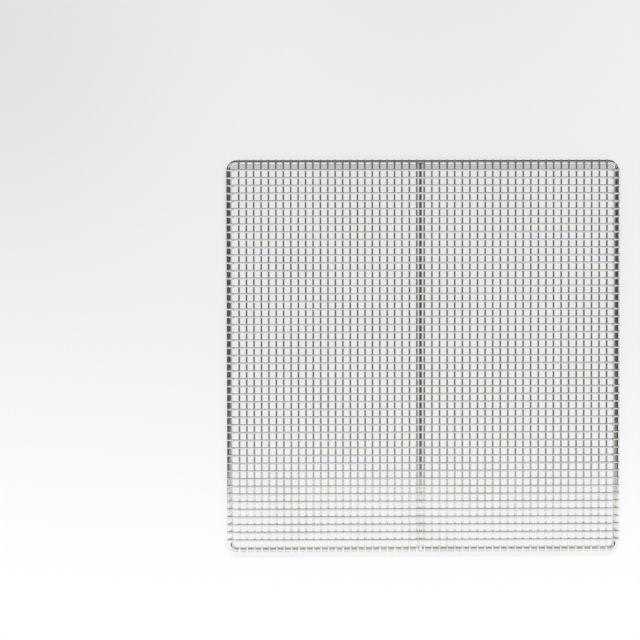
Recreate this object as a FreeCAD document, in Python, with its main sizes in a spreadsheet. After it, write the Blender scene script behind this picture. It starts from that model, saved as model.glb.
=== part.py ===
# Square wire cooling rack for a bakery.
#
# A round wire bent into a square frame carries a welded mesh. The lengthwise wires run along Y and
# rest on the front and back of the frame; the crosswise wires run along X and lie on top of them.
# Because the frame is flat, each crosswise wire is set down at both ends so that it also reaches
# the frame. A brace wire, of a thickness between the two, runs down the middle, under the crosswise
# wires.
#
# Millimetres, +Z up, origin on the supporting surface at the middle of the frame.

import FreeCAD
import Part
import Sketcher
import math
import os

BAD_STATES = ("Invalid", "Error")
START, END, CENTRE = 1, 2, 3
ORIGIN = -1
Y_AXIS = -2
UP = FreeCAD.Vector(0, 0, 1)
TOWARDS_FRONT = FreeCAD.Vector(0, -1, 0)


# ---------------------------------------------------------------------------------------------
# Driving dimensions
# ---------------------------------------------------------------------------------------------

DRIVING = [
    ("overall_width", 342.9, "outside of the frame across X"),
    ("overall_depth", 342.9, "outside of the frame along Y"),
    ("frame_wire_dia", 4.8, "wire of the frame"),
    ("frame_bend_radius", 6.5, "bend at the frame corners, measured to the wire's middle"),
    ("brace_wire_dia", 3.2, "wire of the middle brace"),
    ("brace_offset", -2.4, "middle of the brace from the middle of the frame"),
    ("brace_clearance", 0.25, "least air between the brace and the lengthwise wires beside it"),
    ("mesh_wire_dia", 1.8, "wire of the mesh, both directions"),
    ("side_margin", 8.7, "frame wire's middle to the outermost lengthwise wire, mean of both sides"),
    ("side_shift", -0.1, "mesh out of the middle across X"),
    ("end_margin", 7.9, "frame wire's middle to the outermost crosswise wire, mean of both ends"),
    ("end_shift", 1.2, "mesh out of the middle along Y"),
    ("lengthwise_per_side", 25, "lengthwise wires on each side of the brace"),
    ("crosswise_count", 49, "crosswise wires"),
    ("set_down_radius", 3.0, "both bends of a crosswise wire's end, to the wire's middle"),
]

DERIVED = [
    ("frame_radius", "=frame_wire_dia / 2"),
    ("mesh_radius", "=mesh_wire_dia / 2"),
    ("brace_radius", "=brace_wire_dia / 2"),
    ("frame_half_x", "=overall_width / 2 - frame_radius"),
    ("frame_half_y", "=overall_depth / 2 - frame_radius"),
    ("frame_bend_x", "=frame_half_x - frame_bend_radius"),
    ("frame_bend_y", "=frame_half_y - frame_bend_radius"),
    ("frame_run_x", "=2 * frame_bend_x"),
    ("frame_run_y", "=2 * frame_bend_y"),
    ("lower_layer_z", "=frame_wire_dia + mesh_radius"),
    ("upper_layer_z", "=lower_layer_z + mesh_wire_dia"),
    ("brace_z", "=frame_wire_dia + mesh_wire_dia - brace_radius"),
    ("brace_drop", "=lower_layer_z - brace_z"),
    ("brace_reach", "=brace_radius + mesh_radius + brace_clearance"),
    ("least_half_gap", "=sqrt(max(0; brace_reach ^ 2 - brace_drop ^ 2))"),
    ("left_wire_x", "=side_margin + side_shift - frame_half_x"),
    ("right_wire_x", "=frame_half_x - side_margin + side_shift"),
    ("left_half_gap", "=max(least_half_gap; (brace_offset - left_wire_x) / (2 * lengthwise_per_side - 1))"),
    ("right_half_gap", "=max(least_half_gap; (right_wire_x - brace_offset) / (2 * lengthwise_per_side - 1))"),
    ("left_pitch", "=(brace_offset - left_half_gap - left_wire_x) / (lengthwise_per_side - 1)"),
    ("right_pitch", "=(right_wire_x - brace_offset - right_half_gap) / (lengthwise_per_side - 1)"),
    ("middle_pitch", "=left_half_gap + right_half_gap"),
    ("first_wire_y", "=frame_half_y - end_margin + end_shift"),
    ("crosswise_pitch", "=2 * (frame_half_y - end_margin) / (crosswise_count - 1)"),
    ("set_down_run", "=sqrt(mesh_wire_dia * (4 * set_down_radius - mesh_wire_dia))"),
    ("set_down_gap", "=side_margin - abs(side_shift)"),
    ("set_down_x", "=frame_half_x - (set_down_gap + set_down_run) / 2"),
]


def fill_sheet(doc):
    """Write the driving and derived dimensions into the sheet, one named cell each."""
    sheet = doc.addObject("Spreadsheet::Sheet", "dimensions")
    row = 1
    for name, value, meaning in DRIVING:
        sheet.set(f"A{row}", name)
        sheet.set(f"B{row}", str(value))
        sheet.set(f"C{row}", meaning)
        sheet.setAlias(f"B{row}", name)
        row += 1
    for name, formula in DERIVED:
        sheet.set(f"A{row}", name)
        sheet.setAlias(f"B{row}", name)
        sheet.set(f"B{row}", formula)
        row += 1
    doc.recompute()
    return sheet


# ---------------------------------------------------------------------------------------------
# Helpers shared by all the wires
# ---------------------------------------------------------------------------------------------

def new_body(doc, label):
    body = doc.addObject("PartDesign::Body", label)
    body.Label = label
    body.AllowCompound = True
    return body


def origin_feature(body, role):
    """The body's own origin plane or axis with this role."""
    return next(item for item in body.Origin.OriginFeatures if item.Role == role)


def sketch_on(body, role, label):
    """A sketch lying on one of the body's own origin planes."""
    sketch = body.newObject("Sketcher::SketchObject", label)
    sketch.AttachmentSupport = [(origin_feature(body, role), "")]
    sketch.MapMode = "FlatFace"
    return sketch


def relate(sketch, kind, *geometry):
    sketch.addConstraint(Sketcher.Constraint(kind, *geometry))


def dimension(sketch, kind, geometry, name, formula, value):
    """Add a constraint with a size and bind that size to the sheet."""
    index = sketch.addConstraint(Sketcher.Constraint(kind, *geometry, value))
    sketch.renameConstraint(index, name)
    sketch.setExpression(f"Constraints.{name}", formula)


def swept_half(body, section, path):
    """Sweep a wire's section along half of its path."""
    half = body.newObject("PartDesign::AdditivePipe", f"{body.Label}_half")
    half.Profile = section
    half.Spine = (path, [""])
    return half


def mirror_step(doc, body):
    step = doc.addObject("PartDesign::Mirrored", f"{body.Label}_mirror")
    step.MirrorPlane = (origin_feature(body, "YZ_Plane"), [""])
    return step


def pair_step(doc, body, axis, pitch):
    """Repeat a wire once, one pitch further along an axis."""
    step = doc.addObject("PartDesign::LinearPattern", f"{body.Label}_pair")
    step.Direction = (origin_feature(body, axis), [""])
    step.Mode = "Spacing"
    step.Occurrences = 2
    step.setExpression("Offset", f"dimensions.{pitch}")
    return step


def transformed(body, feature, steps):
    """Apply mirror and repeat steps to a feature and make the result the body's tip."""
    result = body.newObject("PartDesign::MultiTransform", f"{body.Label}_all")
    result.Originals = [feature]
    result.Transformations = steps
    body.Tip = result


# ---------------------------------------------------------------------------------------------
# The frame: one wire bent square, with its ends butt-welded. It is kept as its straight runs and
# its bends, end to end, so that each has a simple shape and the space inside the frame stays open.
# ---------------------------------------------------------------------------------------------

def place(item, x, y, z):
    """Bind an object's place to the sheet, one formula for each coordinate."""
    item.setExpression("Placement.Base.x", x)
    item.setExpression("Placement.Base.y", y)
    item.setExpression("Placement.Base.z", z)


def frame_run(doc, label, axis, length, x, y):
    """A straight side of the frame, from its start at x, y."""
    run = doc.addObject("Part::Cylinder", label)
    run.Placement = FreeCAD.Placement(FreeCAD.Vector(), FreeCAD.Rotation(UP, axis))
    run.setExpression("Radius", "dimensions.frame_radius")
    run.setExpression("Height", f"dimensions.{length}")
    place(run, x, y, "dimensions.frame_radius")
    return run


def frame_bend(doc, label, start_angle, x, y):
    """A quarter turn of the frame wire about x, y."""
    bend = doc.addObject("Part::Torus", label)
    bend.Placement = FreeCAD.Placement(FreeCAD.Vector(), FreeCAD.Rotation(UP, start_angle))
    bend.Angle3 = 90
    bend.setExpression("Radius1", "dimensions.frame_bend_radius")
    bend.setExpression("Radius2", "dimensions.frame_radius")
    place(bend, x, y, "dimensions.frame_radius")
    return bend


def build_frame(doc):
    along_x = FreeCAD.Vector(1, 0, 0)
    along_y = FreeCAD.Vector(0, 1, 0)
    half_x, half_y = "dimensions.frame_half_x", "dimensions.frame_half_y"
    bend_x, bend_y = "dimensions.frame_bend_x", "dimensions.frame_bend_y"
    segments = [
        frame_run(doc, "frame_run_front", along_x, "frame_run_x", f"-{bend_x}", f"-{half_y}"),
        frame_run(doc, "frame_run_back", along_x, "frame_run_x", f"-{bend_x}", half_y),
        frame_run(doc, "frame_run_left", along_y, "frame_run_y", f"-{half_x}", f"-{bend_y}"),
        frame_run(doc, "frame_run_right", along_y, "frame_run_y", half_x, f"-{bend_y}"),
        frame_bend(doc, "frame_bend_back_right", 0, bend_x, bend_y),
        frame_bend(doc, "frame_bend_back_left", 90, f"-{bend_x}", bend_y),
        frame_bend(doc, "frame_bend_front_left", 180, f"-{bend_x}", f"-{bend_y}"),
        frame_bend(doc, "frame_bend_front_right", 270, bend_x, f"-{bend_y}"),
    ]
    frame = doc.addObject("Part::Compound", "frame_wire")
    frame.Label = "frame_wire"
    frame.Links = segments
    return frame


# ---------------------------------------------------------------------------------------------
# The brace: a straight wire under the crosswise wires, its ends coped over the frame wire
# ---------------------------------------------------------------------------------------------

def build_brace(doc, frame):
    rod = doc.addObject("Part::Cylinder", "brace_rod")
    rod.setExpression("Radius", "dimensions.brace_radius")
    rod.setExpression("Height", "2 * dimensions.frame_half_y")
    rod.Placement = FreeCAD.Placement(FreeCAD.Vector(), FreeCAD.Rotation(UP, TOWARDS_FRONT))
    place(rod, "dimensions.brace_offset", "dimensions.frame_half_y", "dimensions.brace_z")
    brace = doc.addObject("Part::Cut", "center_brace")
    brace.Label = "center_brace"
    brace.Base = rod
    brace.Tool = frame
    return brace


# ---------------------------------------------------------------------------------------------
# The mesh: lengthwise wires below, crosswise wires above
# ---------------------------------------------------------------------------------------------

def wire_numbers(first, last, count):
    """Node name suffix of a group of neighbouring wires, padded to the row's largest number."""
    width = len(str(count))
    numbers = [f"{number:0{width}d}" for number in range(first, last + 1)]
    return "_".join(dict.fromkeys([numbers[0], numbers[-1]]))


def build_lengthwise(doc, sheet, first, last, count, position, pitch):
    """One or two neighbouring lengthwise wires; `position` gives the first one's middle."""
    body = new_body(doc, f"lengthwise_wires_{wire_numbers(first, last, count)}")
    section = sketch_on(body, "XZ_Plane", f"{body.Label}_section")
    section.addGeometry(Part.Circle(FreeCAD.Vector(0, sheet.lower_layer_z, 0), UP, sheet.mesh_radius))
    relate(section, "PointOnObject", 0, CENTRE, Y_AXIS)
    dimension(section, "Radius", (0,), "wire", "dimensions.mesh_radius", sheet.mesh_radius)
    dimension(section, "DistanceY", (ORIGIN, START, 0, CENTRE), "height",
              "dimensions.lower_layer_z", sheet.lower_layer_z)
    wire = body.newObject("PartDesign::Pad", f"{body.Label}_wire")
    wire.Profile = section
    wire.SideType = "Symmetric"
    wire.setExpression("Length", "dimensions.overall_depth")
    body.Tip = wire
    if last > first:
        transformed(body, wire, [pair_step(doc, body, "X_Axis", pitch)])
    body.setExpression("Placement.Base.x", position)
    return body


def build_all_lengthwise(doc, sheet):
    """Wires are numbered from the left; the middle pair stands on either side of the brace."""
    per_side = int(sheet.lengthwise_per_side)
    count = 2 * per_side
    bodies = []
    for first in range(1, per_side - (per_side % 2), 2):
        position = f"dimensions.left_wire_x + {first - 1} * dimensions.left_pitch"
        bodies.append(build_lengthwise(doc, sheet, first, first + 1, count, position, "left_pitch"))
    if per_side % 2:
        position = "dimensions.brace_offset - dimensions.left_half_gap"
        bodies.append(build_lengthwise(doc, sheet, per_side, per_side + 1, count, position, "middle_pitch"))
    start = per_side + 1 + (per_side % 2)
    for first in range(start, count, 2):
        steps = first - per_side - 1
        position = (f"dimensions.brace_offset + dimensions.right_half_gap"
                    f" + {steps} * dimensions.right_pitch")
        bodies.append(build_lengthwise(doc, sheet, first, first + 1, count, position, "right_pitch"))
    return bodies


def crosswise_path(body, sheet):
    """Right half of a crosswise wire: straight, set down by one wire over two bends, straight."""
    x = sheet.set_down_x
    run = sheet.set_down_run
    high = sheet.upper_layer_z
    low = sheet.lower_layer_z
    r = sheet.set_down_radius
    turn = math.acos(1 - (high - low) / (2 * r))
    half_width = sheet.overall_width / 2
    path = sketch_on(body, "XZ_Plane", f"{body.Label}_path")
    path.addGeometry(Part.LineSegment(FreeCAD.Vector(0, high, 0), FreeCAD.Vector(x, high, 0)))
    path.addGeometry(Part.ArcOfCircle(
        Part.Circle(FreeCAD.Vector(x, high - r, 0), UP, r), 0.5 * math.pi - turn, 0.5 * math.pi))
    path.addGeometry(Part.ArcOfCircle(
        Part.Circle(FreeCAD.Vector(x + run, low + r, 0), UP, r), 1.5 * math.pi - turn, 1.5 * math.pi))
    path.addGeometry(Part.LineSegment(
        FreeCAD.Vector(x + run, low, 0), FreeCAD.Vector(half_width, low, 0)))
    top, upper_bend, lower_bend, foot = range(4)
    relate(path, "Tangent", top, END, upper_bend, END)
    relate(path, "Tangent", upper_bend, START, lower_bend, START)
    relate(path, "Tangent", lower_bend, END, foot, START)
    relate(path, "Horizontal", top)
    relate(path, "Horizontal", foot)
    relate(path, "PointOnObject", top, START, Y_AXIS)
    relate(path, "Equal", upper_bend, lower_bend)
    dimension(path, "Radius", (upper_bend,), "bend", "dimensions.set_down_radius", r)
    dimension(path, "DistanceY", (ORIGIN, START, top, START), "high", "dimensions.upper_layer_z", high)
    dimension(path, "DistanceY", (ORIGIN, START, foot, END), "low", "dimensions.lower_layer_z", low)
    dimension(path, "DistanceX", (ORIGIN, START, top, END), "straight", "dimensions.set_down_x", x)
    dimension(path, "DistanceX", (ORIGIN, START, foot, END), "half_width",
              "dimensions.overall_width / 2", half_width)
    return path


def build_crosswise(doc, sheet, first, last, count):
    """One or two neighbouring crosswise wires, numbered from the back."""
    body = new_body(doc, f"crosswise_wires_{wire_numbers(first, last, count)}")
    path = crosswise_path(body, sheet)
    section = sketch_on(body, "YZ_Plane", f"{body.Label}_section")
    section.addGeometry(Part.Circle(FreeCAD.Vector(0, sheet.upper_layer_z, 0), UP, sheet.mesh_radius))
    relate(section, "PointOnObject", 0, CENTRE, Y_AXIS)
    dimension(section, "Radius", (0,), "wire", "dimensions.mesh_radius", sheet.mesh_radius)
    dimension(section, "DistanceY", (ORIGIN, START, 0, CENTRE), "height",
              "dimensions.upper_layer_z", sheet.upper_layer_z)
    half = swept_half(body, section, path)
    steps = [mirror_step(doc, body)]
    if last > first:
        steps.append(pair_step(doc, body, "Y_Axis", "crosswise_pitch"))
    transformed(body, half, steps)
    body.setExpression("Placement.Base.y",
                       f"dimensions.first_wire_y - {last - 1} * dimensions.crosswise_pitch")
    return body


def build_all_crosswise(doc, sheet):
    count = int(sheet.crosswise_count)
    return [build_crosswise(doc, sheet, first, min(first + 1, count), count)
            for first in range(1, count + 1, 2)]


# ---------------------------------------------------------------------------------------------
# Build, check and write every piece
# ---------------------------------------------------------------------------------------------

def check(doc, pieces):
    """Stop if any object failed to compute or any piece has no sound solid."""
    for item in doc.Objects:
        if any(state in item.State for state in BAD_STATES):
            raise RuntimeError(f"{item.Label} did not compute: {item.State}")
    for piece in pieces:
        if piece.Shape.isNull() or not piece.Shape.isValid() or not piece.Shape.Solids:
            raise RuntimeError(f"{piece.Label} has no sound solid")


def main():
    os.makedirs("parts", exist_ok=True)
    doc = FreeCAD.newDocument("cooling_rack")
    sheet = fill_sheet(doc)
    frame = build_frame(doc)
    pieces = [frame, build_brace(doc, frame)]
    pieces += build_all_lengthwise(doc, sheet)
    pieces += build_all_crosswise(doc, sheet)
    doc.recompute()
    check(doc, pieces)
    for piece in pieces:
        piece.Shape.exportStep(f"parts/{piece.Label}.step")
    print(f"wrote {len(pieces)} pieces, {sum(len(piece.Shape.Solids) for piece in pieces)} solids")


main()
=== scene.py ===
# %% [markdown]
# # A bakery cooling rack
#
# This rack is one stout wire bent into a square, with a mesh of thin wires welded on top and a
# brace, of a thickness between the two, under the middle. Everything is steel with a bright
# nickel plating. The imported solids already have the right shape, so they stay, and this lesson
# adds what the solids leave out: the fused metal at every weld, the plating, the light and the
# camera.

# %% Load the frame
import bmesh
import bpy
import math
import random
from mathutils import Matrix, Vector


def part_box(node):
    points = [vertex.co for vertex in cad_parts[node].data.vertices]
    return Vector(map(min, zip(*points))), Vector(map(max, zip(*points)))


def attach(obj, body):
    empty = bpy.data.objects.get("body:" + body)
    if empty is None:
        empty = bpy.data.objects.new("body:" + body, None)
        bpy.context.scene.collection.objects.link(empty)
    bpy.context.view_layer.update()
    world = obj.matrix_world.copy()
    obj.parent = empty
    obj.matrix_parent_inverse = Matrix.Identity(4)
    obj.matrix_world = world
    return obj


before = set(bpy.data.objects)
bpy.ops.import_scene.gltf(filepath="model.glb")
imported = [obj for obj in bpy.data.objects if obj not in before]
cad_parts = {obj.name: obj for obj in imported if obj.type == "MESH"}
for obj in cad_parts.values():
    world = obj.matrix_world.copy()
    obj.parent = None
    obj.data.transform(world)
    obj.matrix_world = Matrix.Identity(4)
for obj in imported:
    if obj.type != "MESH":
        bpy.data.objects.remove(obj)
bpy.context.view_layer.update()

# %% [markdown]
# ## The camera
#
# The rack is seen square on, from straight above its mesh, by a camera placed a little to the
# left of its middle and behind it. A long lens keeps the two layers of wire from drifting apart
# towards the edges. A camera in Blender looks along its own -Z with +Y up, so with no turn at
# all it already looks straight down, and a degree or two of turn gives the slight taper of a
# hand-set tripod.

# %% Camera
SENSOR_MM = 36.0
LENS_MM = 67.5
CAMERA_PLACE = Vector((-0.0988, 0.0494, 1.05145))
CAMERA_TURN_DEG = (-0.95, -0.48, -0.12)

camera_data = bpy.data.cameras.new("camera")
camera_data.sensor_width = SENSOR_MM
camera_data.lens = LENS_MM
camera_data.clip_start = 0.01
camera_data.clip_end = 50.0
camera = bpy.data.objects.new("camera", camera_data)
bpy.context.collection.objects.link(camera)
camera_turn = Matrix.Identity(4)
for degrees, axis in zip(CAMERA_TURN_DEG, "XYZ"):
    camera_turn = camera_turn @ Matrix.Rotation(math.radians(degrees), 4, axis)
camera.matrix_world = Matrix.Translation(CAMERA_PLACE) @ camera_turn
bpy.context.scene.camera = camera
print("lens", round(camera_data.lens, 1), "mm")

# %% [markdown]
# ## Where the wires are
#
# Every weld sits where two wires cross, so the lesson starts by reading each wire's place from
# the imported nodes. A node holds one or two neighbouring wires, and its box gives the middle of
# the first and of the last one: half a wire in from either side.

# %% Read the wires' places
MESH_WIRE = 0.0018
mesh_radius = MESH_WIRE / 2
node_names = sorted(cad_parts)
lengthwise_nodes = [name for name in node_names if name.startswith("lengthwise")]
crosswise_nodes = [name for name in node_names if name.startswith("crosswise")]


def wire_middles(names, axis):
    """Middle of every wire in these nodes along one axis, without repeats."""
    middles = []
    for name in names:
        low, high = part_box(name)
        middles += [low[axis] + mesh_radius, high[axis] - mesh_radius]
    return sorted({round(middle, 6) for middle in middles})


wire_x = wire_middles(lengthwise_nodes, 0)
wire_y = wire_middles(crosswise_nodes, 1)
frame_low, frame_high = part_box("frame_wire")
brace_low, brace_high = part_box("center_brace")
frame_radius = (frame_high.z - frame_low.z) / 2
brace_x = (brace_low.x + brace_high.x) / 2
frame_x = frame_high.x - frame_radius
frame_y = frame_high.y - frame_radius
layer_z = frame_high.z + MESH_WIRE
pitch_y = (wire_y[-1] - wire_y[0]) / (len(wire_y) - 1)
print(len(wire_x), "lengthwise wires,", len(wire_y), "crosswise wires")

# %% [markdown]
# ## Shared surface effects
#
# The same bright nickel covers every wire, but it isn't the same all over. Drawing the wire
# through a die leaves fine lines along it, the bath leaves a faint mottle, hands and washing
# leave duller patches, and the heat of each weld leaves a slightly rougher, warmer halo. An
# effect that several materials share is made once, as a node group with named inputs.

# %% Node helpers
def add_node(tree, kind, values=None, **settings):
    """Add a node, set its properties and the values of its input sockets."""
    node = tree.nodes.new(kind)
    for key, value in settings.items():
        setattr(node, key, value)
    for key, value in (values or {}).items():
        node.inputs[key].default_value = value
    return node


def math_node(tree, operation, first, second=None, third=None, clamp=False):
    """A Math node whose inputs are either links or plain numbers."""
    node = add_node(tree, "ShaderNodeMath", operation=operation, use_clamp=clamp)
    for index, value in enumerate((first, second, third)):
        if value is None:
            continue
        if isinstance(value, (int, float)):
            node.inputs[index].default_value = value
        else:
            tree.links.new(value, node.inputs[index])
    return node.outputs[0]


def noise(tree, vector, scale, detail, roughness=0.55):
    """Noise between zero and one; a larger scale makes it finer."""
    node = add_node(tree, "ShaderNodeTexNoise",
                    {"Scale": scale, "Detail": detail, "Roughness": roughness})
    tree.links.new(vector, node.inputs["Vector"])
    return node.outputs["Fac"]


def remap(tree, value, low, high, to_low=0.0, to_high=1.0):
    """Spread the part of a value between low and high over a new range, with soft ends."""
    node = add_node(tree, "ShaderNodeMapRange", interpolation_type="SMOOTHSTEP")
    tree.links.new(value, node.inputs["Value"])
    for name, number in zip(("From Min", "From Max", "To Min", "To Max"), (low, high, to_low, to_high)):
        node.inputs[name].default_value = number
    return node.outputs["Result"]


def window(tree, value, low, high, soft):
    """One between low and high, fading to zero over a soft edge outside them."""
    rise = remap(tree, value, low - soft, low)
    fall = remap(tree, value, high, high + soft, 1.0, 0.0)
    return math_node(tree, "MULTIPLY", rise, fall)


def new_group(name, inputs, outputs):
    """A node group with its interface; returns the tree, its inputs and its outputs."""
    tree = bpy.data.node_groups.new(name, "ShaderNodeTree")
    for label, kind in inputs:
        tree.interface.new_socket(name=label, in_out="INPUT", socket_type=kind)
    for label, kind in outputs:
        tree.interface.new_socket(name=label, in_out="OUTPUT", socket_type=kind)
    group_in = tree.nodes.new("NodeGroupInput")
    group_out = tree.nodes.new("NodeGroupOutput")
    return tree, group_in.outputs, group_out.inputs


# %% Plating group
PATCH_SCALE = 22.0
MOTTLE_SCALE = 420.0
LINE_SCALE = 2600.0
RIPPLE_SCALE = 260.0


def build_plating_group():
    """Colour, roughness and height of nickel plating over drawn wire."""
    tree, given, result = new_group(
        "nickel_plating",
        [("Vector", "NodeSocketVector"), ("Along", "NodeSocketVector"),
         ("Clean", "NodeSocketColor"), ("Stained", "NodeSocketColor"),
         ("Halo", "NodeSocketFloat"), ("Smoothest", "NodeSocketFloat"),
         ("Dullest", "NodeSocketFloat")],
        [("Color", "NodeSocketColor"), ("Roughness", "NodeSocketFloat"),
         ("Height", "NodeSocketFloat")])
    patches = remap(tree, noise(tree, given["Vector"], PATCH_SCALE, 4.0), 0.42, 0.72)
    mottle = noise(tree, given["Vector"], MOTTLE_SCALE, 3.0)
    lines = noise(tree, given["Along"], LINE_SCALE, 2.0, 0.6)
    ripple = noise(tree, given["Along"], RIPPLE_SCALE, 1.0)
    stain = math_node(tree, "MULTIPLY_ADD", given["Halo"], 0.7,
                      math_node(tree, "MULTIPLY", patches, 0.35), clamp=True)
    tint = add_node(tree, "ShaderNodeMix", data_type="RGBA")
    tree.links.new(stain, tint.inputs["Factor"])
    tree.links.new(given["Clean"], tint.inputs[6])
    tree.links.new(given["Stained"], tint.inputs[7])
    shade = remap(tree, mottle, 0.25, 0.75, 0.93, 1.05)
    graded = add_node(tree, "ShaderNodeVectorMath", operation="SCALE")
    tree.links.new(tint.outputs[2], graded.inputs[0])
    tree.links.new(shade, graded.inputs["Scale"])
    tree.links.new(graded.outputs[0], result["Color"])
    dull = math_node(tree, "MULTIPLY_ADD", remap(tree, lines, 0.3, 0.7), 0.25,
                     math_node(tree, "MULTIPLY", mottle, 0.35))
    dull = math_node(tree, "ADD", dull, math_node(tree, "MULTIPLY", stain, 0.6), clamp=True)
    spread = math_node(tree, "SUBTRACT", given["Dullest"], given["Smoothest"])
    tree.links.new(math_node(tree, "MULTIPLY_ADD", dull, spread, given["Smoothest"]),
                   result["Roughness"])
    height = math_node(tree, "MULTIPLY_ADD", lines, 0.35, ripple)
    tree.links.new(math_node(tree, "MULTIPLY_ADD", mottle, 0.3, height), result["Height"])
    return tree


# %% Weld halo group
def build_halo_group():
    """One where a wire lies near a weld, falling to zero, for welds a fixed pitch apart."""
    tree, given, result = new_group(
        "weld_halo",
        [("Position", "NodeSocketFloat"), ("First", "NodeSocketFloat"),
         ("Pitch", "NodeSocketFloat"), ("Reach", "NodeSocketFloat")],
        [("Mask", "NodeSocketFloat")])
    steps = math_node(tree, "DIVIDE",
                      math_node(tree, "SUBTRACT", given["Position"], given["First"]), given["Pitch"])
    nearest = math_node(tree, "ROUND", steps)
    away = math_node(tree, "ABSOLUTE", math_node(tree, "SUBTRACT", steps, nearest))
    away = math_node(tree, "MULTIPLY", away, given["Pitch"])
    fade = math_node(tree, "DIVIDE", away, given["Reach"])
    tree.links.new(math_node(tree, "SUBTRACT", 1.0, fade, clamp=True), result["Mask"])
    return tree


plating_group = build_plating_group()
halo_group = build_halo_group()
print("groups:", plating_group.name, halo_group.name)

# %% [markdown]
# ## Nickel on each kind of wire
#
# Nickel is a metal, so its colour goes in Base Color with Metallic at one, and it is a little
# yellower than chrome. The drawn lines have to run along each wire, so the same noise is
# squeezed along X or Y to suit. The bump stays shallow: it only bends the reflections.

# %% Plating materials
NICKEL_CLEAN = (0.80, 0.80, 0.785, 1.0)
NICKEL_STAINED = (0.62, 0.60, 0.555, 1.0)
ALONG_X = (0.02, 1.0, 1.0)
ALONG_Y = (1.0, 0.02, 1.0)
EVEN = (1.0, 1.0, 1.0)
LENGTHWISE_HALO, BRACE_HALO = 0.0019, 0.0022
RELIEF_HEIGHT = 0.00006


def halo_mask(tree, place, reach):
    """Where a wire that runs along Y is near a crossing."""
    parts = add_node(tree, "ShaderNodeSeparateXYZ")
    tree.links.new(place, parts.inputs[0])
    node = add_node(tree, "ShaderNodeGroup", node_tree=halo_group)
    node.inputs["First"].default_value = wire_y[0]
    node.inputs["Pitch"].default_value = pitch_y
    node.inputs["Reach"].default_value = reach
    tree.links.new(parts.outputs["Y"], node.inputs["Position"])
    return node.outputs["Mask"]


def plating_material(name, stretch, smoothest, dullest, halo_reach=None, bump=0.15):
    """Nickel plating, from its smoothest to its dullest, with a halo round each crossing."""
    material = bpy.data.materials.new(name)
    material.use_nodes = True
    tree = material.node_tree
    shader = tree.nodes["Principled BSDF"]
    shader.inputs["Metallic"].default_value = 1.0
    place = add_node(tree, "ShaderNodeTexCoord").outputs["Object"]
    along = add_node(tree, "ShaderNodeMapping", {"Scale": stretch})
    tree.links.new(place, along.inputs["Vector"])
    plating = add_node(tree, "ShaderNodeGroup", node_tree=plating_group)
    plating.inputs["Clean"].default_value = NICKEL_CLEAN
    plating.inputs["Stained"].default_value = NICKEL_STAINED
    plating.inputs["Smoothest"].default_value = smoothest
    plating.inputs["Dullest"].default_value = dullest
    tree.links.new(place, plating.inputs["Vector"])
    tree.links.new(along.outputs["Vector"], plating.inputs["Along"])
    if halo_reach:
        tree.links.new(halo_mask(tree, place, halo_reach), plating.inputs["Halo"])
    tree.links.new(plating.outputs["Color"], shader.inputs["Base Color"])
    tree.links.new(plating.outputs["Roughness"], shader.inputs["Roughness"])
    relief = add_node(tree, "ShaderNodeBump", {"Strength": bump, "Distance": RELIEF_HEIGHT})
    tree.links.new(plating.outputs["Height"], relief.inputs["Height"])
    tree.links.new(relief.outputs["Normal"], shader.inputs["Normal"])
    return material


lengthwise_nickel = plating_material("nickel_lengthwise", ALONG_Y, 0.08, 0.22, LENGTHWISE_HALO)
crosswise_nickel = plating_material("nickel_crosswise", ALONG_X, 0.08, 0.22)
frame_nickel = plating_material("nickel_frame", EVEN, 0.10, 0.24)
brace_nickel = plating_material("nickel_brace", ALONG_Y, 0.05, 0.15, BRACE_HALO)
weld_nickel = plating_material("nickel_weld", EVEN, 0.18, 0.36, bump=0.3)
print("five platings; weld halos every", round(pitch_y * 1000, 2), "mm")

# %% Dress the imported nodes
for name in node_names:
    node_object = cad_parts[name]
    material = frame_nickel
    if name == "center_brace":
        material = brace_nickel
    elif name in lengthwise_nodes:
        material = lengthwise_nickel
    elif name in crosswise_nodes:
        material = crosswise_nickel
    for material_slot in node_object.material_slots:
        material_slot.material = material
print("dressed", len(node_names), "nodes")

# %% [markdown]
# ## Welds
#
# Mesh like this is resistance welded: electrodes squeeze the crossing wires and a burst of
# current fuses them, and a little metal is pressed out into the corners. From a distance it
# only softens each crossing, but seen low across the rack it is what holds the layers together.
# Each nugget is a coarse sphere, squashed flat, with a small random size and place. There are
# thousands, so each has only a few dozen faces and smooth shading does the rest.

# %% Nugget helpers
dice = random.Random(7)
NUGGET_SIDES, NUGGET_RINGS = 8, 5
WELD_WANDER = 0.00006


def add_nugget(bm, middle, size):
    """A squashed sphere; size is its half-width along X, Y and Z."""
    shift = Vector([dice.uniform(-WELD_WANDER, WELD_WANDER) for _ in range(3)])
    swell = dice.uniform(0.9, 1.08)
    turn = Matrix.Rotation(dice.uniform(0, math.pi), 4, "Z")
    place = Matrix.Translation(Vector(middle) + shift) @ Matrix.Diagonal(
        (size[0] * swell, size[1] * swell, size[2], 1.0)) @ turn
    bmesh.ops.create_uvsphere(bm, u_segments=NUGGET_SIDES, v_segments=NUGGET_RINGS,
                              radius=1.0, matrix=place)


def finish_piece(name, bm, material):
    """Turn a bmesh into a smooth piece that rides on the rack."""
    bmesh.ops.recalc_face_normals(bm, faces=bm.faces)
    for face in bm.faces:
        face.smooth = True
    mesh = bpy.data.meshes.new(name)
    bm.to_mesh(mesh)
    bm.free()
    mesh.materials.append(material)
    piece = bpy.data.objects.new(name, mesh)
    bpy.context.collection.objects.link(piece)
    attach(piece, "root")
    print(name, len(mesh.polygons), "faces")


# %% Mesh welds
MESH_NUGGET = (0.00122, 0.00122, 0.00046)


def weld_row(y):
    """One crosswise wire's welds, as a mesh of its own."""
    row = bmesh.new()
    for x in wire_x:
        add_nugget(row, (x, y, layer_z), MESH_NUGGET)
    mesh = bpy.data.meshes.new("row")
    row.to_mesh(mesh)
    row.free()
    return mesh


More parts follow.
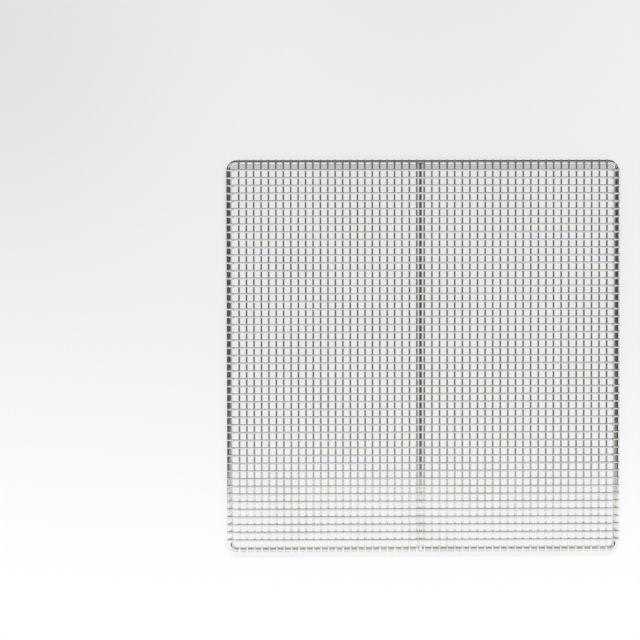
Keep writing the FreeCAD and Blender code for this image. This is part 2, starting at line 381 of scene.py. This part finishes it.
half_way = len(wire_y) // 2
for name, rows in (("mesh_welds_front", wire_y[:half_way]), ("mesh_welds_back", wire_y[half_way:])):
    welds = bmesh.new()
    for y in rows:
        row_mesh = weld_row(y)
        welds.from_mesh(row_mesh)
        bpy.data.meshes.remove(row_mesh)
    finish_piece(name, welds, weld_nickel)

# %% [markdown]
# The mesh wires are welded down to the frame in the same way, and so is the brace to each
# crosswise wire that passes over it, and at its ends to the frame. These nuggets are larger,
# because the thicker wires take more heat.

# %% Frame and brace welds
ALONG_WIRE, ACROSS_WIRE = 0.0015, 0.00135
FRAME_NUGGET_RISE = 0.0005
BRACE_NUGGET = (0.0014, 0.0012, 0.0005)
BRACE_END_NUGGET = (0.0010, 0.0012, 0.0008)
BRACE_END_SPREAD, BRACE_END_INSET, BRACE_END_DROP = 0.0012, 0.0009, 0.0002

frame_welds = bmesh.new()
for x in wire_x:
    for y in (-frame_y, frame_y):
        add_nugget(frame_welds, (x, y, frame_high.z), (ACROSS_WIRE, ALONG_WIRE, FRAME_NUGGET_RISE))
for y in wire_y:
    for x in (-frame_x, frame_x):
        add_nugget(frame_welds, (x, y, frame_high.z), (ALONG_WIRE, ACROSS_WIRE, FRAME_NUGGET_RISE))
finish_piece("frame_welds", frame_welds, weld_nickel)

brace_welds = bmesh.new()
for y in wire_y:
    add_nugget(brace_welds, (brace_x, y, layer_z), BRACE_NUGGET)
for end in (-1, 1):
    for side in (-1, 1):
        middle = (brace_x + side * BRACE_END_SPREAD, end * (frame_y - BRACE_END_INSET),
                  frame_high.z - BRACE_END_DROP)
        add_nugget(brace_welds, middle, BRACE_END_NUGGET)
finish_piece("brace_welds", brace_welds, weld_nickel)

# %% [markdown]
# ## Floor and light
#
# The rack lies on pale paper. One wide light hangs behind it, pointing straight down, and only
# the stout frame wire casts a shadow in it: a soft one on the table, which sets the rack down.
# The thin mesh is left out of that shadow, as more soft lamps would wash it away.

# %% Back light
BACK_LIGHT_PLACE = Vector((0.0, 0.62, 0.55))
BACK_LIGHT_SIZE = (0.70, 0.10)
BACK_LIGHT_WATTS = 16.0
PAPER_GREY = 0.16

back_light_data = bpy.data.lights.new("back_light", "AREA")
back_light_data.shape = "RECTANGLE"
back_light_data.size, back_light_data.size_y = BACK_LIGHT_SIZE
back_light_data.energy = BACK_LIGHT_WATTS
back_light = bpy.data.objects.new("back_light", back_light_data)
bpy.context.collection.objects.link(back_light)
back_light.matrix_world = Matrix.Translation(BACK_LIGHT_PLACE)
back_light.visible_camera = False
back_light.visible_glossy = False
shaded_by = bpy.data.collections.new("back_light_blockers")
shaded_by.objects.link(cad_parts["frame_wire"])
back_light.light_linking.blocker_collection = shaded_by
light_climb = math.atan2(BACK_LIGHT_PLACE.z, BACK_LIGHT_PLACE.y - frame_y)
print("back light", round(math.degrees(light_climb)), "degrees above the back of the rack")

# %% [markdown]
# The paper is a dull grey that also glows. The glow is worked out from the light's distance, as
# the part of the wanted brightness that the light doesn't give, so the paper looks even and its
# far parts melt into the sky. The glow also paints light and shade: painted light makes it a
# little brighter in front, painted shade darkens one corner at the back, and painted shade darkens
# it under the mesh, where the wires would take some of the light.

# %% Studio helpers
FULLY_ROUGH = 0.9


def dull_paint(name, grey):
    """A material without any shine, and its shader."""
    material = bpy.data.materials.new(name)
    material.use_nodes = True
    shader = material.node_tree.nodes["Principled BSDF"]
    shader.inputs["Base Color"].default_value = (grey, grey, grey, 1.0)
    shader.inputs["Roughness"].default_value = FULLY_ROUGH
    shader.inputs["Specular IOR Level"].default_value = 0.0
    return material, shader


def stage_piece(name, bm, material):
    """Floor or card: part of the studio, not of the rack."""
    mesh = bpy.data.meshes.new(name)
    bm.to_mesh(mesh)
    bm.free()
    mesh.materials.append(material)
    piece = bpy.data.objects.new(name, mesh)
    bpy.context.collection.objects.link(piece)
    return piece


# %% The back light's share
def length_of(tree, vector):
    """How long a vector is."""
    node = add_node(tree, "ShaderNodeVectorMath", operation="LENGTH")
    tree.links.new(vector, node.inputs[0])
    return node.outputs["Value"]


def back_light_on_floor(tree, place):
    """How bright the back light makes the paper: strongest below the light, fading with distance."""
    offset = add_node(tree, "ShaderNodeVectorMath", operation="SUBTRACT")
    tree.links.new(place, offset.inputs[0])
    offset.inputs[1].default_value = (BACK_LIGHT_PLACE.x, BACK_LIGHT_PLACE.y, 0.0)
    slant = math_node(tree, "DIVIDE", length_of(tree, offset.outputs[0]), BACK_LIGHT_PLACE.z)
    spread = math_node(tree, "MULTIPLY_ADD", slant, slant, 1.0)
    below = PAPER_GREY * BACK_LIGHT_WATTS / (math.pi * BACK_LIGHT_PLACE.z) ** 2
    return math_node(tree, "DIVIDE", below, math_node(tree, "POWER", spread, 2.0))


# %% Paper floor
FLOOR_REACH = 12.0
GLOW_Y = (-0.24, 0.06)
# Painted light: outside the mesh the paper glows brighter in front than behind.
OPEN_FRONT, OPEN_BACK = 0.88, 0.77
# Painted shade under the mesh: the paper's brightness inside the frame, front and back.
UNDER_FRONT, UNDER_BACK = 0.83, 0.755
UNDER_EDGE, UNDER_SOFT = 0.160, 0.012
# Painted shade: the paper darkens towards the back-left corner.
CORNER_X, CORNER_Y = (-0.10, -0.40), (-0.05, 0.30)
CORNER_SHADE = 0.15
FAR_START, FAR_END = 0.6, 1.5
FAR_GLOW = 0.76


def paper_material():
    """Pale paper whose glow makes up what the back light doesn't reach, with painted light in front and
    painted shade in a corner and under the mesh.
    """
    material, shader = dull_paint("paper_sweep", PAPER_GREY)
    tree = material.node_tree
    shader.inputs["Emission Color"].default_value = (1.0, 1.0, 1.0, 1.0)
    place = add_node(tree, "ShaderNodeTexCoord").outputs["Object"]
    parts = add_node(tree, "ShaderNodeSeparateXYZ")
    tree.links.new(place, parts.inputs[0])
    # Painted light, brighter towards the front.
    in_the_open = remap(tree, parts.outputs["Y"], *GLOW_Y, OPEN_FRONT, OPEN_BACK)
    shaded_under_mesh = remap(tree, parts.outputs["Y"], *GLOW_Y, UNDER_FRONT, UNDER_BACK)
    # Painted shade: one inside the frame, fading out over a soft edge at the frame.
    mesh_shade_mask = math_node(tree, "MULTIPLY",
                        window(tree, parts.outputs["X"], -UNDER_EDGE, UNDER_EDGE, UNDER_SOFT),
                        window(tree, parts.outputs["Y"], -UNDER_EDGE, UNDER_EDGE, UNDER_SOFT))
    difference = math_node(tree, "SUBTRACT", shaded_under_mesh, in_the_open)
    wanted = math_node(tree, "MULTIPLY_ADD", mesh_shade_mask, difference, in_the_open)
    # Painted shade, strongest at the back-left corner of the paper.
    corner = math_node(tree, "MULTIPLY", remap(tree, parts.outputs["X"], *CORNER_X),
                       remap(tree, parts.outputs["Y"], *CORNER_Y))
    wanted = math_node(tree, "SUBTRACT", wanted, math_node(tree, "MULTIPLY", corner, CORNER_SHADE))
    far = remap(tree, length_of(tree, place), FAR_START, FAR_END)
    missing = math_node(tree, "SUBTRACT", FAR_GLOW, wanted)
    wanted = math_node(tree, "MULTIPLY_ADD", far, missing, wanted)
    glow = math_node(tree, "SUBTRACT", wanted, back_light_on_floor(tree, place))
    tree.links.new(math_node(tree, "MAXIMUM", glow, 0.0), shader.inputs["Emission Strength"])
    return material


floor_bm = bmesh.new()
bmesh.ops.create_grid(floor_bm, x_segments=1, y_segments=1, size=FLOOR_REACH)
stage_piece("floor", floor_bm, paper_material())
print("floor reaches", FLOOR_REACH, "m")

# %% [markdown]
# A bright wire on a bright floor has no edge to see. A studio stands black cards close beside
# such a thing: out of view, but mirrored in its sides as a crisp dark outline. These cards line
# the left, right and back of the frame and are seen by reflections only.

# %% Black cards
CARD_AWAY = 0.0016
CARD_THICKNESS = 0.0004
SIDE_CARD_HEIGHT = 0.0082
BACK_CARD_HEIGHT = 0.0065
TAPER_START, TAPER_END = -0.092, -0.128
CARD_GREY = 0.08

card_paint, _ = dull_paint("card_black", CARD_GREY)


def dark_card(name, low, high, taper=False):
    """A standing card that only reflections see; a tapered one runs low in front."""
    bm = bmesh.new()
    low, high = Vector(low), Vector(high)
    size = Matrix.Diagonal(tuple(high - low) + (1.0,))
    bmesh.ops.create_cube(bm, size=1.0, matrix=Matrix.Translation((low + high) / 2) @ size)
    if taper:
        everything = bm.verts[:] + bm.edges[:] + bm.faces[:]
        bmesh.ops.bisect_plane(bm, geom=everything, plane_co=(0, TAPER_START, 0), plane_no=(0, 1, 0))
        for vertex in bm.verts:
            if vertex.co.y < (TAPER_START + TAPER_END) / 2:
                vertex.co.z = min(vertex.co.z, CARD_THICKNESS)
    card = stage_piece(name, bm, card_paint)
    card.visible_camera = False
    card.visible_diffuse = False
    card.visible_transmission = False
    card.visible_volume_scatter = False
    card.visible_shadow = False


near = frame_high.x + CARD_AWAY
for side, sign in (("left", -1), ("right", 1)):
    low_x, high_x = sorted((sign * near, sign * (near + CARD_THICKNESS)))
    dark_card(f"card_{side}", (low_x, TAPER_END, 0), (high_x, frame_high.y, SIDE_CARD_HEIGHT),
              taper=True)
near = frame_high.y + CARD_AWAY
dark_card("card_back", (-frame_high.x, near, 0),
          (frame_high.x, near + CARD_THICKNESS, BACK_CARD_HEIGHT))
print("three cards,", round(CARD_AWAY * 1000, 1), "mm outside the frame")

# %% [markdown]
# Polished wire shows its surroundings, so they do most of the work: white in front, white
# above, a black gap behind, and a grey strip straight overhead, with the dark camera in the
# middle of it. They are painted on the sky by direction, and light the paper a little too. The
# camera sees a plain pale grey in their place.

# %% Surroundings
SKY_BANDS = [(-1.0, 0.80, 0.78, 0.70), (-0.7, 1.10, 1.08, 1.02), (-0.4, 1.30, 1.30, 1.28),
             (-0.2, 1.34, 1.34, 1.33), (0.2, 1.20, 1.21, 1.22), (0.54, 1.20, 1.21, 1.22),
             (0.60, 0.05, 0.05, 0.05), (0.94, 0.05, 0.05, 0.05), (1.0, 0.70, 0.70, 0.70)]
BRIGHTEST = 1.4
ROOM_GREY = (0.35, 0.35, 0.345)
CAMERA_DARK = (0.02, 0.02, 0.02, 1.0)
SKY_SEEN = 0.86
OVERHEAD_Y, OVERHEAD_Y_SOFT = (-0.145, 0.20), 0.012
CAMERA_X, CAMERA_X_SOFT = (-0.52, 0.56), 0.05
HORIZON_SOFT = 0.05

world = bpy.data.worlds.new("studio")
bpy.context.scene.world = world
world.use_nodes = True
tree = world.node_tree
background = tree.nodes["Background"]
towards = add_node(tree, "ShaderNodeTexCoord").outputs["Generated"]
parts = add_node(tree, "ShaderNodeSeparateXYZ")
tree.links.new(towards, parts.inputs[0])


def blend(mask, under, over):
    """Lay a plain colour over another one where the mask is one."""
    node = add_node(tree, "ShaderNodeMix", data_type="RGBA")
    tree.links.new(mask, node.inputs["Factor"])
    tree.links.new(under, node.inputs[6])
    node.inputs[7].default_value = over
    return node.outputs[2]


# %% Paint the sky
bands = add_node(tree, "ShaderNodeValToRGB")
ramp = bands.color_ramp
while len(ramp.elements) < len(SKY_BANDS):
    ramp.elements.new(0.5)
for element, (level, *colour) in zip(ramp.elements, SKY_BANDS):
    element.position = (level + 1) / 2
    element.color = [part / BRIGHTEST for part in colour] + [1.0]
band_place = add_node(tree, "ShaderNodeMapRange", {"From Min": -1.0, "From Max": 1.0})
tree.links.new(parts.outputs["Y"], band_place.inputs["Value"])
tree.links.new(band_place.outputs["Result"], bands.inputs[0])
overhead = window(tree, parts.outputs["Y"], *OVERHEAD_Y, OVERHEAD_Y_SOFT)
room = blend(overhead, bands.outputs[0], [part / BRIGHTEST for part in ROOM_GREY] + [1.0])
by_camera = window(tree, parts.outputs["X"], *CAMERA_X, CAMERA_X_SOFT)
upward = remap(tree, parts.outputs["Z"], -HORIZON_SOFT, HORIZON_SOFT)
across = math_node(tree, "MULTIPLY", overhead, by_camera)
dark = math_node(tree, "MULTIPLY", across, upward)
room = blend(dark, room, CAMERA_DARK)
seen = add_node(tree, "ShaderNodeLightPath")
room = blend(seen.outputs["Is Camera Ray"], room, [SKY_SEEN / BRIGHTEST] * 3 + [1.0])
tree.links.new(room, background.inputs["Color"])
background.inputs["Strength"].default_value = BRIGHTEST
print("sky of", len(SKY_BANDS), "bands from front to back")

# %% [markdown]
# The greys are meant as they are, so nothing bends them on the way to the screen.

# %% Colour management
bpy.context.scene.view_settings.view_transform = "Standard"
